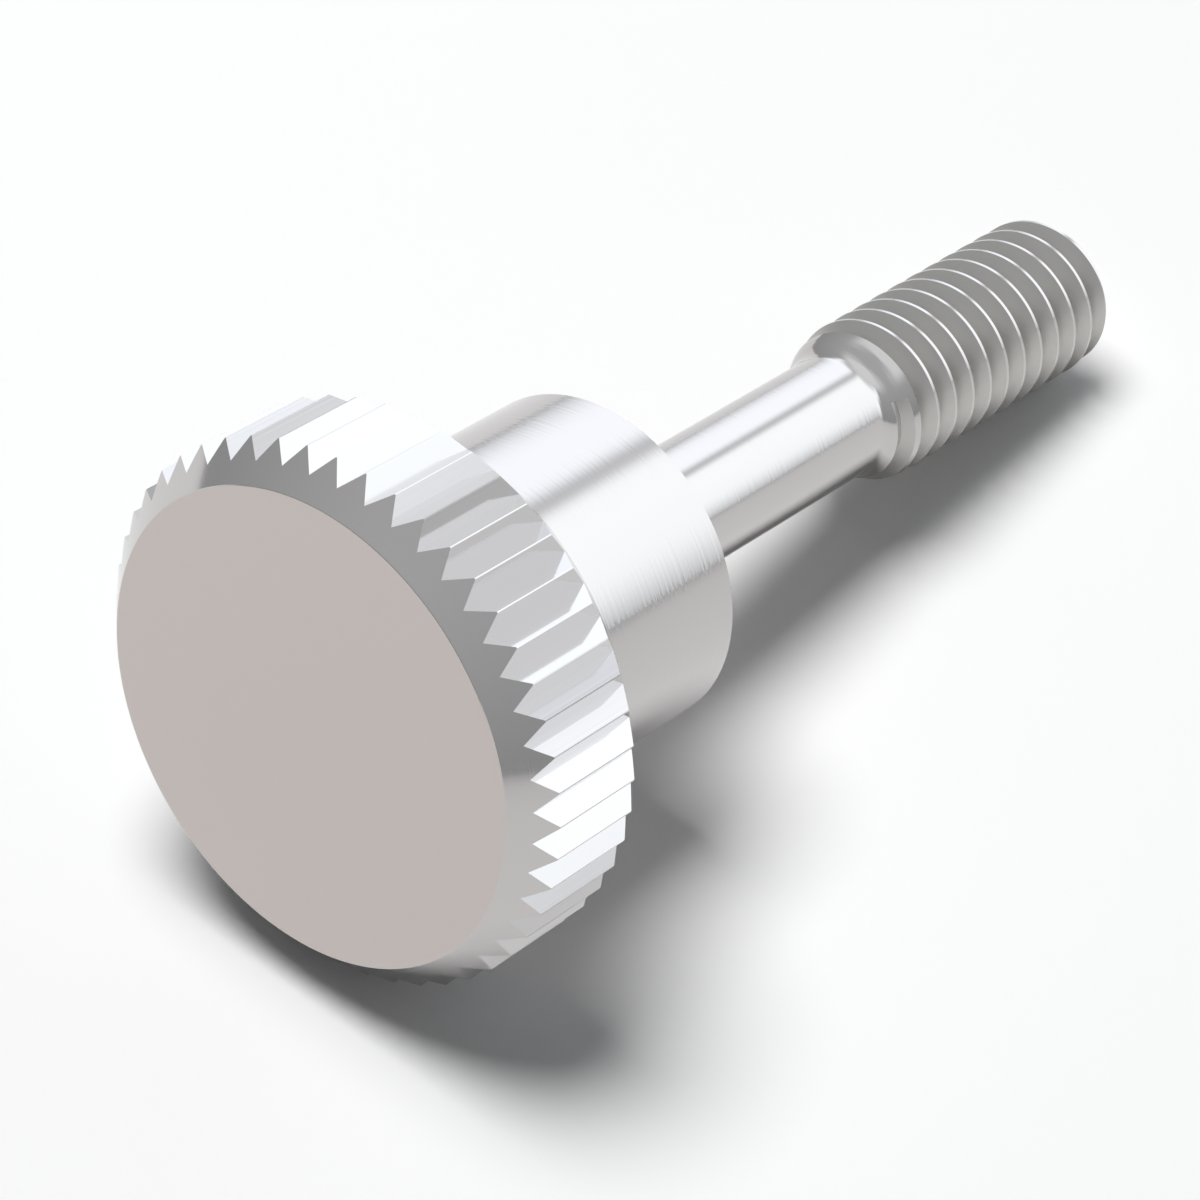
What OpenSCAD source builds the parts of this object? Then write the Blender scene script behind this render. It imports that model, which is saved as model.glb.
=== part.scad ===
// Knurled collar screw: a one-piece turned thumb screw with a plain neck and a short metric thread.
// It is drawn lying as it rests on a table: on two neighbouring knurl teeth and on the thread's tip.

/* [Knurled head] */
// Diameter over the teeth
head_d = 8; // [6:0.1:14]
// Length of the knurled band, both chamfers included
head_len = 2.5; // [1.8:0.1:6]
// 45 degree chamfer at the front face and behind the teeth
head_chamfer = 0.5; // [0.3:0.05:0.8]
// Number of teeth round the head
knurl_teeth = 49; // [30:1:60]
// Depth of the grooves between the teeth
knurl_depth = 0.25; // [0.1:0.01:0.28]
// Included angle of a groove
knurl_angle = 90; // [70:1:90]

/* [Collar] */
// Diameter of the smooth collar
collar_d = 5; // [3.5:0.1:5.6]
// Length of the collar behind the knurled band
collar_len = 3.5; // [1:0.1:8]

/* [Neck] */
// Diameter of the plain neck, smaller than the thread's core
neck_d = 1.9; // [1.4:0.05:1.95]
// Distance from the collar to the full thread diameter
neck_len = 6.15; // [3:0.05:20]
// Radius of the hollow curve from the neck up to the thread
neck_fillet = 1.2; // [0.4:0.1:2]

/* [Thread] */
// Outer diameter of the thread
thread_d = 2.5; // [2.3:0.05:3]
// Distance between neighbouring crests
thread_pitch = 0.45; // [0.4:0.05:0.5]
// Length from there to the tip
thread_len = 5.1; // [3:0.05:12]
// 45 degree chamfer at the tip
tip_chamfer = 0.2; // [0.1:0.05:0.4]
// Angle at which the groove starts, seen from the valley that faces the table
thread_start = -128; // [-180:1:180]

/* [Hidden] */
$fn = 96;
// Distances from the head's flat face along the screw
collar_z = head_len;
neck_z = collar_z + collar_len;
thread_z = neck_z + neck_len;
tip_z = thread_z + thread_len;
// Knurl
head_r = head_d / 2;
root_r = head_r - knurl_depth;
tooth_step = 360 / knurl_teeth;
groove_reach = knurl_depth * 2;
// Metric thread: 60 degree flanks, a crest flat of an eighth and a root flat of a quarter of the pitch
thread_r = thread_d / 2;
flank_half = 30;
crest_flat = thread_pitch / 8;
root_flat = thread_pitch / 4;
thread_depth = (thread_pitch - crest_flat - root_flat) / 2 / tan(flank_half);
core_r = thread_r - thread_depth;
facets_per_turn = 32;
// The groove cutter stands clear of the blank: a little flank, then a straight wall
cutter_over = 0.02;
cutter_out = 0.1;
// How far the groove's middle lies before the full thread diameter where it starts
groove_lead = 0.265;
// Hollow curve from the neck to the thread
fillet_rise = min(thread_r - neck_d / 2, neck_fillet);
fillet_angle = acos(1 - fillet_rise / neck_fillet);
fillet_run = neck_fillet * sin(fillet_angle);
// Rest on the table: the rear ends of two teeth, and the last full crest over the table
rest_z = head_len - head_chamfer;
rest_r = head_r * cos(tooth_step / 2);
full_end = tip_z - tip_chamfer;
crest_0 = thread_z - groove_lead - thread_start / 360 * thread_pitch + thread_pitch / 2 + crest_flat / 2;
last_crest = crest_0 + floor((full_end - crest_0) / thread_pitch) * thread_pitch;
lie = atan((rest_r - thread_r) / (last_crest - rest_z));
lift = rest_r * cos(lie) + rest_z * sin(lie);
face_r = head_r - head_chamfer;
tip_r = thread_r - tip_chamfer;
x_low = -face_r * sin(lie);
x_high = tip_z * cos(lie) + tip_r * sin(lie);

// One groove of the knurl as a triangle, its point towards the axis
module knurl_groove() {
    half = groove_reach * tan(knurl_angle / 2);
    polygon([[root_r, 0], [root_r + groove_reach, -half], [root_r + groove_reach, half]]);
}

// Section across the knurled band, with one groove towards the table
module knurl_section() {
    difference() {
        circle(r = head_r);
        for (k = [0 : knurl_teeth - 1]) rotate(k * tooth_step) knurl_groove();
    }
}

// The knurled band: the toothed bar turned to a chamfer at both ends
module head() {
    intersection() {
        linear_extrude(head_len) knurl_section();
        rotate_extrude()
            polygon([
                [0, 0],
                [head_r - head_chamfer, 0],
                [head_r, head_chamfer],
                [head_r, head_len - head_chamfer],
                [head_r - head_chamfer, head_len],
                [0, head_len]
            ]);
    }
}

// Half section of the collar, the neck, its hollow curve and the plain blank of the thread
module stem_section() {
    difference() {
        polygon([
            [0, collar_z - 0.5],
            [collar_d / 2, collar_z - 0.5],
            [collar_d / 2, neck_z],
            [neck_d / 2, neck_z],
            [neck_d / 2, thread_z - fillet_run],
            [thread_r, thread_z - fillet_run],
            [thread_r, full_end],
            [tip_r, tip_z],
            [0, tip_z]
        ]);
        translate([neck_d / 2 + neck_fillet, thread_z - fillet_run]) circle(r = neck_fillet);
    }
}

// Section of the thread groove at one turning angle, as points in space
function groove_points(a) =
    let (
        z = thread_z - groove_lead + (a - thread_start) / 360 * thread_pitch,
        wall_r = thread_r + cutter_over,
        out_r = thread_r + cutter_out,
        in_half = root_flat / 2,
        wall_half = in_half + (wall_r - core_r) * tan(flank_half)
    )
    [for (p = [
        [core_r, -in_half],
        [core_r, in_half],
        [wall_r, wall_half],
        [out_r, wall_half],
        [out_r, -wall_half],
        [wall_r, -wall_half]
    ]) [p[0] * cos(a), p[0] * sin(a), z + p[1]]];

// The helical groove between the thread's crests, swept as one closed solid
module thread_groove() {
    turns = (thread_len + groove_lead) / thread_pitch + 0.6;
    steps = ceil(turns * facets_per_turn);
    step = 360 / facets_per_turn;
    points = [for (i = [0 : steps]) each groove_points(thread_start + i * step)];
    sides = [
        for (i = [0 : steps - 1])
            for (k = [0 : 5])
                let (a = i * 6 + k, b = i * 6 + (k + 1) % 6)
                each [[a, a + 6, b], [b, a + 6, b + 6]]
    ];
    first = [[0, 4, 5], [0, 3, 4], [0, 2, 3], [0, 1, 2]];
    n = steps * 6;
    last = [[n, n + 2, n + 1], [n, n + 3, n + 2], [n, n + 4, n + 3], [n, n + 5, n + 4]];
    polyhedron(points = points, faces = concat(sides, first, last), convexity = 10);
}

// The whole screw, upright on its face, as it leaves the lathe
module screw_upright() {
    head();
    difference() {
        rotate_extrude() stem_section();
        thread_groove();
    }
}

module collar_screw() {
    color("silver")
        translate([-(x_low + x_high) / 2, 0, lift])
            rotate([0, 90 + lie, 0])
                screw_upright();
}

collar_screw();
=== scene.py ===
"""Looks of a one-piece knurled collar screw, lying on a pale studio floor.

The screw is one closed mesh made by two rules. A narrow sector of the turned bar, with one knurl
tooth at its head, is repeated round the axis; then a helical groove is cut along the thread.
Its shape is worked out upright, in millimetres, with z = 0 at the head's flat face and z growing
towards the thread's tip, and is laid down on the floor at the end.
"""

import logging
import math
from dataclasses import dataclass, field
from enum import Enum

import bmesh
import bpy
from mathutils import Matrix, Vector


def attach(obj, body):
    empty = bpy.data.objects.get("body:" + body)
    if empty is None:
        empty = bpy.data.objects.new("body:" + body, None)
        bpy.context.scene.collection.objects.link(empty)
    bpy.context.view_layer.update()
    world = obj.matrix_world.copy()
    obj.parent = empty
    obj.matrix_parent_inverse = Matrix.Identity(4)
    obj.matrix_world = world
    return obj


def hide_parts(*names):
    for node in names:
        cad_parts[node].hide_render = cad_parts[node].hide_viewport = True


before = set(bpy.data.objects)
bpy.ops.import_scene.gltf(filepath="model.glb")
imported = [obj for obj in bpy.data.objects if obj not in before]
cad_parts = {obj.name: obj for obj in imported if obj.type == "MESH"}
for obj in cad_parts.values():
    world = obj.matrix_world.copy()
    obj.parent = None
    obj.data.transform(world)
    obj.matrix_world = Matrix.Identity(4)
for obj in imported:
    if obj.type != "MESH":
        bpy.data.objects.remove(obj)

log = logging.getLogger("collar_screw")
MM = 0.001
# Half the angle between a metric thread's flanks
FLANK_HALF = math.radians(30)
# Edges that turn more than this stay crisp
CRISP_EDGE = math.radians(22)


class Surface(Enum):
    """How each surface of the screw was made."""

    FACED = 0
    TURNED = 1
    KNURLED = 2
    THREADED = 3


def linear(hex_code: str) -> tuple[float, float, float, float]:
    """Turns an sRGB hex colour into linear RGBA.

    Args:
        hex_code: Six hex digits after a hash sign.

    Returns:
        Red, green, blue and alpha as linear values.
    """
    parts = [int(hex_code[i : i + 2], 16) / 255 for i in (1, 3, 5)]
    values = [p / 12.92 if p <= 0.04045 else ((p + 0.055) / 1.055) ** 2.4 for p in parts]
    return (*values, 1.0)


def add_node(
    tree: bpy.types.NodeTree,
    kind: str,
    inputs: dict[str | int, object] | None = None,
    **settings: object,
) -> bpy.types.Node:
    """Adds a node, sets its properties, and feeds its inputs.

    Args:
        tree: The node tree that receives the node.
        kind: The node's type name in Blender.
        inputs: Values, or output sockets to link, by input name or number.
        settings: Properties of the node itself.

    Returns:
        The new node.
    """
    node = tree.nodes.new(kind)
    for name, value in settings.items():
        setattr(node, name, value)
    for key, value in (inputs or {}).items():
        if isinstance(value, bpy.types.NodeSocket):
            tree.links.new(value, node.inputs[key])
        else:
            node.inputs[key].default_value = value
    return node


def grow(
    name: str, mesh: bpy.types.Mesh, tree: bpy.types.NodeTree, sizes: dict[str, object]
) -> bpy.types.Mesh:
    """Runs a geometry node tree on a mesh and keeps the result as a plain mesh.

    Args:
        name: Name of the new mesh.
        mesh: The mesh that goes in.
        tree: The geometry node tree.
        sizes: Values of the tree's named inputs.

    Returns:
        The plain mesh that came out.
    """
    carrier = bpy.data.objects.new(name, mesh)
    bpy.context.scene.collection.objects.link(carrier)
    modifier = carrier.modifiers.new(tree.name, "NODES")
    modifier.node_group = tree
    for item in tree.interface.items_tree:
        if item.item_type == "SOCKET" and item.in_out == "INPUT" and item.name in sizes:
            modifier[item.identifier] = sizes[item.name]
    depsgraph = bpy.context.evaluated_depsgraph_get()
    result = bpy.data.meshes.new_from_object(
        carrier.evaluated_get(depsgraph), preserve_all_data_layers=True, depsgraph=depsgraph
    )
    result.name = name
    carrier.modifiers.remove(modifier)
    bpy.data.objects.remove(carrier)
    return result


@dataclass
class KnurledHead:
    """The knurled band: a flat face, two chamfers, and straight teeth between them."""

    radius: float = 4.0
    length: float = 2.5
    chamfer: float = 0.5
    teeth: int = 49
    depth: float = 0.25
    crest_width: float = 0.02
    flank_steps: int = 3
    edge: float = 0.008

    def columns(self) -> list[tuple[float, float]]:
        """Points across one tooth, valley to valley, as radius and angle in radians."""
        half = math.pi / self.teeth
        root = self.radius - self.depth
        land = self.crest_width / 2 / self.radius
        start = Vector((root, 0.0))
        crest = Vector((self.radius * math.cos(half - land), self.radius * math.sin(half - land)))
        flank = [start.lerp(crest, i / self.flank_steps) for i in range(self.flank_steps + 1)]
        rising = [(p.length, math.atan2(p.y, p.x)) for p in flank]
        falling = [(r, 2 * half - a) for r, a in reversed(rising)]
        return rising + falling

    def profile(self, reach: float) -> list[tuple[float, float, Surface]]:
        """Half section of the head where the teeth stand as high as reach.

        Args:
            reach: Distance from the axis to the knurl's surface.

        Returns:
            Radius, height, and the surface that leads up to that point.
        """
        face = self.radius - self.chamfer
        lean = self.edge * math.sqrt(0.5)
        return [
            (face - self.edge, 0.0, Surface.FACED),
            (face + lean, lean, Surface.TURNED),
            (reach, reach - face, Surface.TURNED),
            (reach, self.length - (reach - face), Surface.KNURLED),
            (face + lean, self.length - lean, Surface.TURNED),
            (face - self.edge, self.length, Surface.TURNED),
        ]


@dataclass
class Shank:
    """The smooth collar, the thin neck, and the hollow curve that rounds over into the thread.

    The solid has one plain arc there. The photograph's outline shows a tighter hollow and a round
    shoulder, which stay within 0.04 mm of that arc.
    """

    collar_radius: float = 2.5
    collar_end: float = 6.0
    neck_radius: float = 0.95
    fillet_start: float = 11.55
    fillet_radius: float = 0.5
    shoulder_radius: float = 0.8
    edge: float = 0.012
    steps: int = 12

    def profile(self, head_length: float, thread_radius: float) -> list[tuple[float, float, Surface]]:
        """Half section from the back of the head to the full thread diameter.

        Args:
            head_length: Length of the knurled band.
            thread_radius: Outer radius of the thread.

        Returns:
            Radius, height, and the surface that leads up to that point.
        """
        both = self.fillet_radius + self.shoulder_radius
        sweep = math.acos(1 - (thread_radius - self.neck_radius) / both)
        shoulder_end = self.fillet_start + both * math.sin(sweep)
        points = [
            (self.collar_radius, head_length, Surface.FACED),
            (self.collar_radius, self.collar_end - self.edge, Surface.TURNED),
            (self.collar_radius - self.edge, self.collar_end, Surface.TURNED),
            (self.neck_radius, self.collar_end, Surface.FACED),
            (self.neck_radius, self.fillet_start, Surface.TURNED),
        ]
        turns = [sweep * i / self.steps for i in range(self.steps + 1)]
        for turn in turns[1:]:
            radius = self.neck_radius + self.fillet_radius * (1 - math.cos(turn))
            height = self.fillet_start + self.fillet_radius * math.sin(turn)
            points.append((radius, height, Surface.TURNED))
        for turn in reversed(turns[:-1]):
            radius = thread_radius - self.shoulder_radius * (1 - math.cos(turn))
            height = shoulder_end - self.shoulder_radius * math.sin(turn)
            points.append((radius, height, Surface.TURNED))
        return points


@dataclass
class Thread:
    """The metric thread: a plain blank and the helical groove cut into it."""

    radius: float = 1.25
    pitch: float = 0.45
    full_end: float = 17.05
    tip: float = 17.25
    start_angle: float = -128.0
    start_height: float = 11.885
    clearance: float = 0.02
    run_out: float = 0.6
    steps_per_turn: int = 128

    def core_radius(self) -> float:
        """Radius at the groove's flat bottom, a quarter of the pitch wide, with 60 degree flanks."""
        return self.radius - self.pitch * 5 / 16 / math.tan(FLANK_HALF)

    def profile(self) -> list[tuple[float, float, Surface]]:
        """Half section of the blank to the tip, as radius, height and surface."""
        return [
            (self.radius, self.full_end, Surface.TURNED),
            (self.radius - (self.tip - self.full_end), self.tip, Surface.TURNED),
        ]

    def groove_tree(self) -> bpy.types.NodeTree:
        """Builds the node tree that sweeps the groove's section along a helix and cuts it out.

        Returns:
            The geometry node tree, with the thread's sizes as named inputs.
        """
        tree = bpy.data.node_groups.new("Helical groove", "GeometryNodeTree")
        socket = tree.interface.new_socket
        socket("Blank", in_out="INPUT", socket_type="NodeSocketGeometry")
        socket("Steps per turn", in_out="INPUT", socket_type="NodeSocketInt")
        for name in ("Turns", "Pitch", "Middle radius", "Depth", "Bottom width", "Mouth width"):
            socket(name, in_out="INPUT", socket_type="NodeSocketFloat")
        socket("Start angle", in_out="INPUT", socket_type="NodeSocketFloat")
        socket("Start height", in_out="INPUT", socket_type="NodeSocketFloat")
        socket("Steel", in_out="INPUT", socket_type="NodeSocketMaterial")
        socket("Screw", in_out="OUTPUT", socket_type="NodeSocketGeometry")
        given = add_node(tree, "NodeGroupInput").outputs
        rise = add_node(
            tree, "ShaderNodeMath", {0: given["Turns"], 1: given["Pitch"]}, operation="MULTIPLY"
        )
        helix = add_node(
            tree,
            "GeometryNodeCurveSpiral",
            {
                "Resolution": given["Steps per turn"],
                "Rotations": given["Turns"],
                "Start Radius": given["Middle radius"],
                "End Radius": given["Middle radius"],
                "Height": rise.outputs[0],
                "Reverse": True,
            },
        )
        level = add_node(tree, "GeometryNodeSetCurveNormal", {"Curve": helix.outputs[0]}, mode="Z_UP")
        turn = add_node(tree, "ShaderNodeCombineXYZ", {"Z": given["Start angle"]})
        place = add_node(tree, "ShaderNodeCombineXYZ", {"Z": given["Start height"]})
        path = add_node(
            tree,
            "GeometryNodeTransform",
            {"Geometry": level.outputs[0], "Translation": place.outputs[0], "Rotation": turn.outputs[0]},
        )
        section = add_node(
            tree,
            "GeometryNodeCurvePrimitiveQuadrilateral",
            {
                "Bottom Width": given["Bottom width"],
                "Top Width": given["Mouth width"],
                "Height": given["Depth"],
                "Offset": 0.0,
            },
            mode="TRAPEZOID",
        )
        # A quarter turn points the narrow side of the section at the axis
        stand = add_node(
            tree,
            "GeometryNodeTransform",
            {"Geometry": section.outputs[0], "Rotation": (0.0, 0.0, -math.pi / 2)},
        )
        cutter = add_node(
            tree,
            "GeometryNodeCurveToMesh",
            {"Curve": path.outputs[0], "Profile Curve": stand.outputs[0], "Fill Caps": True},
        )
        marked = add_node(
            tree,
            "GeometryNodeStoreNamedAttribute",
            {"Geometry": cutter.outputs[0], "Name": "surface", "Value": Surface.THREADED.value},
            data_type="INT",
            domain="FACE",
        )
        cut = add_node(
            tree,
            "GeometryNodeMeshBoolean",
            {"Mesh 1": given["Blank"], "Mesh 2": marked.outputs[0]},
            operation="DIFFERENCE",
            solver="EXACT",
        )
        real = add_node(tree, "GeometryNodeRealizeInstances", {"Geometry": cut.outputs["Mesh"]})
        steel = add_node(
            tree, "GeometryNodeSetMaterial", {"Geometry": real.outputs[0], "Material": given["Steel"]}
        )
        add_node(tree, "NodeGroupOutput", {0: steel.outputs[0]})
        return tree

    def cut(self, blank: bpy.types.Mesh, steel: bpy.types.Material) -> bpy.types.Mesh:
        """Cuts the groove into the blank.

        Args:
            blank: The closed mesh of the unthreaded screw.
            steel: Material of the result.

        Returns:
            The threaded screw.
        """
        core = self.core_radius()
        outer = self.radius + self.clearance
        bottom = self.pitch / 4
        sizes = {
            "Steps per turn": self.steps_per_turn,
            "Turns": (self.tip - self.start_height) / self.pitch + self.run_out,
            "Pitch": self.pitch,
            "Middle radius": (core + outer) / 2,
            "Depth": outer - core,
            "Bottom width": bottom,
            "Mouth width": bottom + 2 * (outer - core) * math.tan(FLANK_HALF),
            "Start angle": math.radians(self.start_angle),
            "Start height": self.start_height,
            "Steel": steel,
        }
        return grow("threaded_screw", blank, self.groove_tree(), sizes)


@dataclass
class Rest:
    """How the screw lies: on the rear tips of two teeth and on its last full thread crest."""

    tooth_height: float
    tooth_place: float
    crest_height: float
    crest_place: float

    def lean(self) -> float:
        """Angle by which the axis points down towards the tip, in radians."""
        return math.atan(
            (self.tooth_height - self.crest_height) / (self.crest_place - self.tooth_place)
        )

    def matrix(self, face_radius: float, tip_radius: float, tip: float) -> Matrix:
        """Lays the upright screw down, in metres, with its footprint's middle at the origin.

        Args:
            face_radius: Radius of the flat face.
            tip_radius: Radius of the flat end of the thread.
            tip: Length of the whole screw.

        Returns:
            The transform from the upright screw in millimetres to the scene in metres.
        """
        lean = self.lean()
        lift = self.tooth_height * math.cos(lean) + self.tooth_place * math.sin(lean)
        low = -face_radius * math.sin(lean)
        high = tip * math.cos(lean) + tip_radius * math.sin(lean)
        turn = Matrix.Rotation(math.pi / 2 + lean, 4, "Y")
        return Matrix.Scale(MM, 4) @ Matrix.Translation((-(low + high) / 2, 0, lift)) @ turn


@dataclass
class CollarScrew:
    """The whole screw, turned and threaded from one bar."""

    head: KnurledHead = field(default_factory=KnurledHead)
    shank: Shank = field(default_factory=Shank)
    thread: Thread = field(default_factory=Thread)
    weld: float = 0.00005

    def sector(self) -> bpy.types.Mesh:
        """Builds one tooth's share of the unthreaded bar, from pole to pole."""
        bm = bmesh.new()
        layer = bm.faces.layers.int.new("surface")
        strips = []
        kinds: list[Surface] = []
        for reach, angle in self.head.columns():
            points = self.head.profile(reach)
            points += self.shank.profile(self.head.length, self.thread.radius)
            points += self.thread.profile()
            kinds = [kind for _, _, kind in points]
            strips.append(
                [bm.verts.new((r * math.cos(angle), r * math.sin(angle), z)) for r, z, _ in points]
            )
        front = bm.verts.new((0, 0, 0))
        back = bm.verts.new((0, 0, self.thread.tip))
        for left, right in zip(strips, strips[1:]):
            bm.faces.new((front, left[0], right[0]))[layer] = kinds[0].value
            for i in range(len(left) - 1):
                quad = bm.faces.new((left[i], left[i + 1], right[i + 1], right[i]))
                quad[layer] = kinds[i + 1].value
            bm.faces.new((left[-1], back, right[-1]))[layer] = Surface.FACED.value
        bmesh.ops.recalc_face_normals(bm, faces=bm.faces)
        mesh = bpy.data.meshes.new("bar_sector")
        bm.to_mesh(mesh)
        bm.free()
        return mesh

    def ring_tree(self) -> bpy.types.NodeTree:
        """Builds the node tree that repeats a sector round the axis and welds its seams.

        Returns:
            The geometry node tree, with the number of repeats as a named input.
        """
        tree = bpy.data.node_groups.new("Repeat round the axis", "GeometryNodeTree")
        socket = tree.interface.new_socket
        socket("Sector", in_out="INPUT", socket_type="NodeSocketGeometry")
        socket("Repeats", in_out="INPUT", socket_type="NodeSocketInt")
        socket("Weld", in_out="INPUT", socket_type="NodeSocketFloat")
        socket("Steel", in_out="INPUT", socket_type="NodeSocketMaterial")
        socket("Bar", in_out="OUTPUT", socket_type="NodeSocketGeometry")
        given = add_node(tree, "NodeGroupInput").outputs
        spots = add_node(tree, "GeometryNodePoints", {"Count": given["Repeats"]})
        number = add_node(tree, "GeometryNodeInputIndex")
        step = add_node(tree, "ShaderNodeMath", {0: math.tau, 1: given["Repeats"]}, operation="DIVIDE")
        angle = add_node(
            tree, "ShaderNodeMath", {0: number.outputs[0], 1: step.outputs[0]}, operation="MULTIPLY"
        )
        turn = add_node(tree, "ShaderNodeCombineXYZ", {"Z": angle.outputs[0]})
        ring = add_node(
            tree,
            "GeometryNodeInstanceOnPoints",
            {"Points": spots.outputs[0], "Instance": given["Sector"], "Rotation": turn.outputs[0]},
        )
        real = add_node(tree, "GeometryNodeRealizeInstances", {"Geometry": ring.outputs[0]})
        welded = add_node(
            tree, "GeometryNodeMergeByDistance", {"Geometry": real.outputs[0], "Distance": given["Weld"]}
        )
        steel = add_node(
            tree, "GeometryNodeSetMaterial", {"Geometry": welded.outputs[0], "Material": given["Steel"]}
        )
        add_node(tree, "NodeGroupOutput", {0: steel.outputs[0]})
        return tree

    def rest(self) -> Rest:
        """Works out where the lying screw touches the floor, from its own sizes."""
        thread = self.thread
        # Half a pitch past the groove's middle, and half a crest flat further, a crest ends
        first = thread.start_height - thread.start_angle / 360 * thread.pitch + thread.pitch * 9 / 16
        turns = math.floor((thread.full_end - first) / thread.pitch)
        return Rest(
            tooth_height=self.head.radius * math.cos(math.pi / self.head.teeth),
            tooth_place=self.head.length - self.head.chamfer,
            crest_height=thread.radius,
            crest_place=first + turns * thread.pitch,
        )

    def laid(self) -> Matrix:
        """The transform from the upright screw in millimetres to the screw lying in the scene."""
        face_radius = self.head.radius - self.head.chamfer
        tip_radius = self.thread.radius - (self.thread.tip - self.thread.full_end)
        return self.rest().matrix(face_radius, tip_radius, self.thread.tip)

    def build(self, steel: bpy.types.Material) -> bpy.types.Object:
        """Makes the screw and lays it down.

        Args:
            steel: Material of the whole screw.

        Returns:
            The finished object, at the origin with its place in its mesh.
        """
        sizes = {"Repeats": self.head.teeth, "Weld": self.weld, "Steel": steel}
        bar = grow("bar", self.sector(), self.ring_tree(), sizes)
        log.info("bar: %d faces", len(bar.polygons))
        mesh = self.thread.cut(bar, steel)
        log.info("threaded screw: %d faces", len(mesh.polygons))
        mesh.transform(self.laid())
        self.shade(mesh)
        screw = bpy.data.objects.new("collar_screw_steel", mesh)
        bpy.context.scene.collection.objects.link(screw)
        return screw

    def shade(self, mesh: bpy.types.Mesh) -> None:
        """Smooths the round surfaces and keeps every real edge crisp.

        Args:
            mesh: The finished mesh.
        """
        bm = bmesh.new()
        bm.from_mesh(mesh)
        for face in bm.faces:
            face.smooth = True
        for edge in bm.edges:
            edge.smooth = len(edge.link_faces) == 2 and edge.calc_face_angle() < CRISP_EDGE
        open_edges = sum(1 for edge in bm.edges if len(edge.link_faces) != 2)
        log.info("open edges: %d", open_edges)
        bm.to_mesh(mesh)
        bm.free()


@dataclass(frozen=True)
class Finish:
    """What one way of working the steel leaves on it: tone, gloss, and tool marks in millimetres.

    The feeds are real ones, two to five pixels wide when the screw fills the picture, so no mark is
    drawn coarser than real. The depths are given, and are those of a smooth turned surface.
    """

    colour: str
    roughness: float
    feed: float
    mark_depth: float


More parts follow.
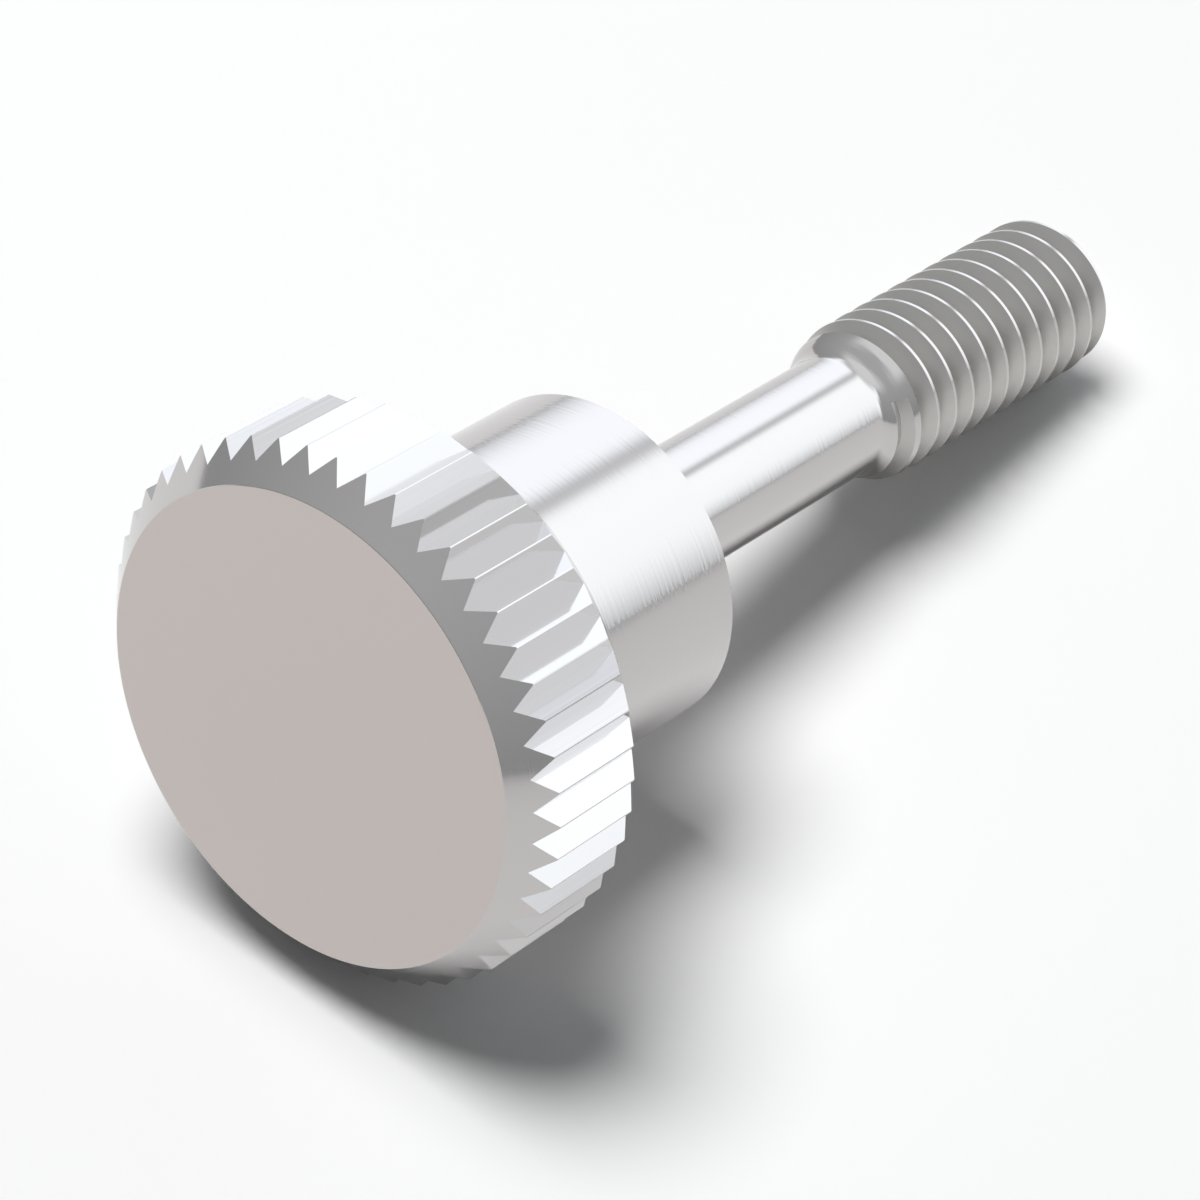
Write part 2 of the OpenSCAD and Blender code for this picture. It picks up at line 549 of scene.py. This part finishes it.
@dataclass(frozen=True)
class BrightStainlessSteel:
    """Free-cutting stainless steel, turned bright: pale, slightly warm, with a near-mirror sheen.

    The facing tool leaves fine rings round the middle of each flat face, and the turning tool fine
    rings along the shank, which fray the edges of the reflections a little. The knurl's flanks are
    pressed smooth, with faint lines along each tooth. The thread's flanks are cut with a die, so
    they are the dullest, with lines that follow the helix, between crests that keep the bar's gloss.
    """

    faced: Finish = Finish(colour="#C2BAB6", roughness=0.2, feed=0.09, mark_depth=0.0006)
    turned: Finish = Finish(colour="#C1BEBD", roughness=0.12, feed=0.07, mark_depth=0.0022)
    knurled: Finish = Finish(colour="#C6C4C4", roughness=0.12, feed=0.05, mark_depth=0.0004)
    threaded: Finish = Finish(colour="#C2C0BD", roughness=0.36, feed=0.04, mark_depth=0.0008)
    unevenness: float = 0.12
    patch: float = 1.5
    mark_detail: float = 2.0
    patch_detail: float = 3.0
    grain: float = 0.6

    def choose(
        self, tree: bpy.types.NodeTree, kind: bpy.types.NodeSocket, values: dict[Surface, object]
    ) -> bpy.types.NodeSocket:
        """Picks a number or a colour by how the surface was made.

        Args:
            tree: The material's node tree.
            kind: The surface's number.
            values: A float or a linear colour for each surface.

        Returns:
            The picked value.
        """
        picked = values[Surface.TURNED]
        coloured = isinstance(picked, tuple)
        # A Mix node has one set of sockets for numbers and another for colours
        first, second, result = (6, 7, 2) if coloured else (2, 3, 0)
        for surface in (Surface.FACED, Surface.KNURLED, Surface.THREADED):
            match = add_node(
                tree, "ShaderNodeMath", {0: kind, 1: float(surface.value), 2: 0.5}, operation="COMPARE"
            )
            mix = add_node(
                tree,
                "ShaderNodeMix",
                {0: match.outputs[0], first: picked, second: values[surface]},
                data_type="RGBA" if coloured else "FLOAT",
            )
            picked = mix.outputs[result]
        return picked

    def material(self, upright: Matrix) -> bpy.types.Material:
        """Builds the shader.

        Args:
            upright: The transform from the scene in metres to the upright screw in millimetres.

        Returns:
            The material, with its patterns centred on the screw's axis.
        """
        material = bpy.data.materials.new("bright_turned_stainless_steel")
        material.use_nodes = True
        tree = material.node_tree
        tree.nodes.clear()
        finishes = {
            Surface.FACED: self.faced,
            Surface.TURNED: self.turned,
            Surface.KNURLED: self.knurled,
            Surface.THREADED: self.threaded,
        }
        kind = add_node(tree, "ShaderNodeAttribute", attribute_name="surface").outputs["Fac"]
        place, turn, size = upright.decompose()
        scene_place = add_node(tree, "ShaderNodeTexCoord")
        local = add_node(
            tree,
            "ShaderNodeMapping",
            {
                "Vector": scene_place.outputs["Object"],
                "Location": place,
                "Rotation": turn.to_euler(),
                "Scale": size,
            },
        )
        along = add_node(tree, "ShaderNodeSeparateXYZ", {0: local.outputs[0]}).outputs[2]
        across = add_node(
            tree, "ShaderNodeVectorMath", {0: local.outputs[0], 1: (1.0, 1.0, 0.0)}, operation="MULTIPLY"
        )
        radius = add_node(tree, "ShaderNodeVectorMath", {0: across.outputs[0]}, operation="LENGTH")
        ways = {surface: radius.outputs["Value"] for surface in finishes}
        travel = self.choose(tree, kind, {**ways, Surface.TURNED: along})
        feed = self.choose(tree, kind, {surface: f.feed for surface, f in finishes.items()})
        passes = add_node(tree, "ShaderNodeMath", {0: travel, 1: feed}, operation="DIVIDE")
        marks = add_node(
            tree,
            "ShaderNodeTexNoise",
            {
                "W": passes.outputs[0],
                "Scale": 1.0,
                "Detail": self.mark_detail,
                "Roughness": self.grain,
            },
            noise_dimensions="1D",
        )
        depth = self.choose(tree, kind, {surface: f.mark_depth * MM for surface, f in finishes.items()})
        height = add_node(tree, "ShaderNodeMath", {0: marks.outputs[0], 1: depth}, operation="MULTIPLY")
        bump = add_node(
            tree, "ShaderNodeBump", {"Height": height.outputs[0], "Strength": 1.0, "Distance": 1.0}
        )
        patches = add_node(
            tree,
            "ShaderNodeTexNoise",
            {
                "Vector": local.outputs[0],
                "Scale": 1 / self.patch,
                "Detail": self.patch_detail,
                "Roughness": self.grain,
            },
        )
        gloss = self.choose(tree, kind, {surface: f.roughness for surface, f in finishes.items()})
        uneven = add_node(
            tree,
            "ShaderNodeMapRange",
            {"Value": patches.outputs[0], "To Min": 1 - self.unevenness, "To Max": 1 + self.unevenness},
        )
        roughness = add_node(
            tree, "ShaderNodeMath", {0: gloss, 1: uneven.outputs[0]}, operation="MULTIPLY"
        )
        tone = self.choose(tree, kind, {surface: linear(f.colour) for surface, f in finishes.items()})
        shader = add_node(
            tree,
            "ShaderNodeBsdfPrincipled",
            {
                "Base Color": tone,
                "Metallic": 1.0,
                "Roughness": roughness.outputs[0],
                "Normal": bump.outputs[0],
            },
        )
        add_node(tree, "ShaderNodeOutputMaterial", {"Surface": shader.outputs[0]})
        return material


@dataclass(frozen=True)
class Softbox:
    """A soft lit window, seen from the screw between two azimuths and two heights, in degrees.

    The sides, foot and top say how far each edge fades to either side of where it lies.
    """

    azimuth: tuple[float, float]
    height: tuple[float, float]
    sides: tuple[float, float]
    foot: float
    top: float
    tint: str
    strength: float

    def background(
        self, tree: bpy.types.NodeTree, azimuth: bpy.types.NodeSocket, height: bpy.types.NodeSocket
    ) -> bpy.types.NodeSocket:
        """Adds the window to the world's shader.

        Args:
            tree: The world's node tree.
            azimuth: Direction round the vertical, in radians from +X.
            height: Direction above the floor, in radians.

        Returns:
            The window's light, as a shader.
        """
        mask = None
        for value, (low, high), (soft_low, soft_high) in (
            (azimuth, self.azimuth, self.sides),
            (height, self.height, (self.foot, self.top)),
        ):
            for start, end in ((low - soft_low, low + soft_low), (high + soft_high, high - soft_high)):
                ramp = add_node(
                    tree,
                    "ShaderNodeMapRange",
                    {"Value": value, "From Min": math.radians(start), "From Max": math.radians(end)},
                    interpolation_type="SMOOTHSTEP",
                )
                if mask is None:
                    mask = ramp.outputs[0]
                else:
                    mask = add_node(
                        tree, "ShaderNodeMath", {0: mask, 1: ramp.outputs[0]}, operation="MULTIPLY"
                    ).outputs[0]
        level = add_node(tree, "ShaderNodeMath", {0: mask, 1: self.strength}, operation="MULTIPLY")
        glow = add_node(
            tree, "ShaderNodeBackground", {"Color": linear(self.tint), "Strength": level.outputs[0]}
        )
        return glow.outputs[0]


@dataclass
class Studio:
    """A pale floor, soft light and the camera: angles in degrees, lengths in millimetres.

    The metal mirrors the whole room. Matte surfaces get only room_share of the room's light, so the
    floor is lit by the key lamp, which the metal doesn't mirror, and its shadow stays clear.
    """

    azimuth: float = -50.953
    elevation: float = 45.073
    roll: float = 2.467
    distance: float = 67.385
    aim: tuple[float, float, float] = (-0.439, 1.412, 0.0)
    lens: float = 134.54
    sensor: float = 36.0
    nearest: float = 1.0
    farthest: float = 2000.0
    floor_half: float = 400.0
    floor_colour: str = "#FBFBFB"
    floor_roughness: float = 0.9
    room_tint: str = "#FBFDFF"
    room_share: float = 0.06
    horizon_glow: float = 0.45
    ceiling_glow: float = 0.68
    ceiling_height: float = 60.0
    key_share: float = 0.95
    key_azimuth: float = 95.0
    key_elevation: float = 74.0
    key_distance: float = 300.0
    key_size: float = 170.0
    softboxes: tuple[Softbox, ...] = (
        Softbox(
            azimuth=(-58.0, 4.2),
            height=(2.0, 47.0),
            sides=(3.5, 8.0),
            foot=18.0,
            top=10.0,
            tint="#F4FAFE",
            strength=1.36,
        ),
        Softbox(
            azimuth=(12.3, 50.0),
            height=(2.0, 42.0),
            sides=(8.0, 3.5),
            foot=18.0,
            top=10.0,
            tint="#F0F7FF",
            strength=1.38,
        ),
        Softbox(
            azimuth=(-100.0, 80.0),
            height=(50.0, 95.0),
            sides=(30.0, 30.0),
            foot=10.0,
            top=3.0,
            tint="#F4F8FC",
            strength=0.5,
        ),
    )

    def camera(self) -> bpy.types.Object:
        """Sets the camera: azimuth 0 looks along +Y, and the roll lifts the picture's right side."""
        turn, rise = math.radians(self.azimuth), math.radians(self.elevation)
        flat = math.cos(rise)
        back = Vector((math.sin(turn) * flat, -math.cos(turn) * flat, math.sin(rise)))
        level = Vector((math.cos(turn), math.sin(turn), 0))
        upright = back.cross(level)
        roll = math.radians(self.roll)
        right = level * math.cos(roll) + upright * math.sin(roll)
        up = back.cross(right)
        place = Matrix((right, up, back)).transposed().to_4x4()
        place.translation = (Vector(self.aim) + back * self.distance) * MM
        data = bpy.data.cameras.new("studio_camera")
        data.lens = self.lens
        data.sensor_width = self.sensor
        data.clip_start = self.nearest * MM
        data.clip_end = self.farthest * MM
        camera = bpy.data.objects.new("studio_camera", data)
        camera.matrix_world = place
        bpy.context.scene.collection.objects.link(camera)
        bpy.context.scene.camera = camera
        return camera

    def floor(self) -> bpy.types.Object:
        """Lays the pale floor."""
        half = self.floor_half * MM
        corners = [(-half, -half, 0), (half, -half, 0), (half, half, 0), (-half, half, 0)]
        mesh = bpy.data.meshes.new("floor")
        mesh.from_pydata(corners, [], [(0, 1, 2, 3)])
        floor = bpy.data.objects.new("floor", mesh)
        bpy.context.scene.collection.objects.link(floor)
        material = bpy.data.materials.new("pale_floor")
        material.use_nodes = True
        tree = material.node_tree
        tree.nodes.clear()
        shader = add_node(
            tree,
            "ShaderNodeBsdfPrincipled",
            {"Base Color": linear(self.floor_colour), "Roughness": self.floor_roughness},
        )
        add_node(tree, "ShaderNodeOutputMaterial", {"Surface": shader.outputs[0]})
        mesh.materials.append(material)
        return floor

    def light(self) -> None:
        """Lights the scene: a soft grey room with two windows and a ceiling panel, and a key lamp."""
        world = bpy.data.worlds.new("studio")
        world.use_nodes = True
        tree = world.node_tree
        tree.nodes.clear()
        view = add_node(tree, "ShaderNodeTexCoord")
        parts = add_node(tree, "ShaderNodeSeparateXYZ", {0: view.outputs["Generated"]}).outputs
        azimuth = add_node(tree, "ShaderNodeMath", {0: parts[1], 1: parts[0]}, operation="ARCTAN2")
        height = add_node(tree, "ShaderNodeMath", {0: parts[2]}, operation="ARCSINE")
        room = add_node(
            tree,
            "ShaderNodeMapRange",
            {
                "Value": height.outputs[0],
                "From Min": 0.0,
                "From Max": math.radians(self.ceiling_height),
                "To Min": self.horizon_glow,
                "To Max": self.ceiling_glow,
            },
        )
        grey = add_node(
            tree,
            "ShaderNodeBackground",
            {"Color": linear(self.room_tint), "Strength": room.outputs[0]},
        )
        glow = grey.outputs[0]
        for box in self.softboxes:
            part = box.background(tree, azimuth.outputs[0], height.outputs[0])
            glow = add_node(tree, "ShaderNodeAddShader", {0: glow, 1: part}).outputs[0]
        path = add_node(tree, "ShaderNodeLightPath")
        matte = add_node(
            tree,
            "ShaderNodeMath",
            {0: path.outputs["Is Diffuse Ray"], 1: 1 - self.room_share},
            operation="MULTIPLY",
        )
        dark = add_node(tree, "ShaderNodeBackground", {"Color": linear("#000000")})
        seen = add_node(tree, "ShaderNodeMixShader", {0: matte.outputs[0], 1: glow, 2: dark.outputs[0]})
        add_node(tree, "ShaderNodeOutputWorld", {"Surface": seen.outputs[0]})
        bpy.context.scene.world = world
        self.key_lamp()

    def key_lamp(self) -> None:
        """Hangs the key lamp high up and a little behind, so that the shadow lies close in front."""
        turn, rise = math.radians(self.key_azimuth), math.radians(self.key_elevation)
        flat = math.cos(rise)
        towards = Vector((math.cos(turn) * flat, math.sin(turn) * flat, math.sin(rise)))
        data = bpy.data.lights.new("key_lamp", "AREA")
        data.shape = "DISK"
        data.size = self.key_size * MM
        # The power at which a white floor under the lamp looks as bright as key_share
        data.energy = self.key_share * (math.pi * self.key_distance * MM) ** 2 / math.sin(rise)
        lamp = bpy.data.objects.new("key_lamp", data)
        lamp.rotation_euler = towards.to_track_quat("Z", "Y").to_euler()
        lamp.location = towards * self.key_distance * MM
        lamp.visible_glossy = False
        bpy.context.scene.collection.objects.link(lamp)


def main() -> None:
    """Builds the screw and the studio round it."""
    logging.basicConfig(level=logging.INFO, format="%(name)s: %(message)s")
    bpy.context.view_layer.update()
    scene = bpy.context.scene
    scene.view_settings.view_transform = "Standard"
    design = CollarScrew()
    screw = design.build(BrightStainlessSteel().material(design.laid().inverted()))
    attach(screw, "root")
    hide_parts("collar_screw")
    studio = Studio()
    studio.floor()
    studio.light()
    studio.camera()


if __name__ == "__main__":
    main()
